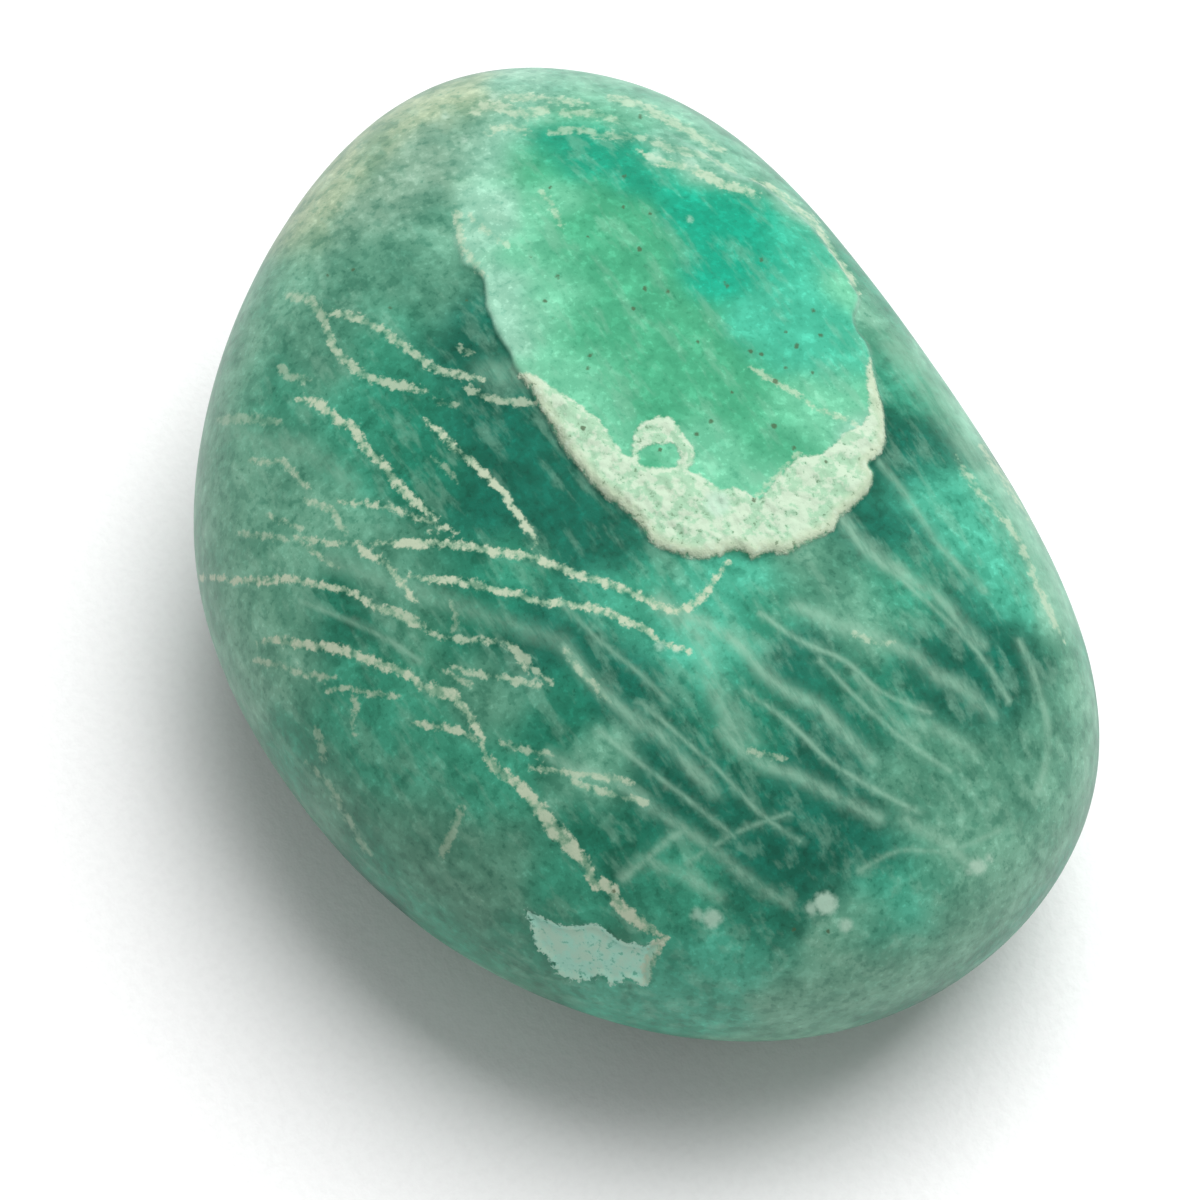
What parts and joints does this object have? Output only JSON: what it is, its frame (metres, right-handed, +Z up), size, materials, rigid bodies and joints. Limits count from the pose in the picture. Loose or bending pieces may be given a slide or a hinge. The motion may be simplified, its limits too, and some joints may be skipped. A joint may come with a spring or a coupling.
{
  "type": "palm stone",
  "caption": "Tumbled amazonite palm stone: a smooth oval pebble with a shallow raised tongue on its back, resting on a small flat spot.",
  "frame": {"origin": "on the flat spot that the stone rests on, under the middle of the stone's box", "axes": "+X along the stone's length, towards its blunter end; +Y towards its steep flank; +Z up through its back"},
  "size_m": [0.0621, 0.043, 0.0251],
  "materials": {
    "stone": "polished, with a satin crust along the tongue's edge"
  },
  "bodies": {
    "root": {"amazonite_palm_stone": "stone"}
  },
  "joints": []
}
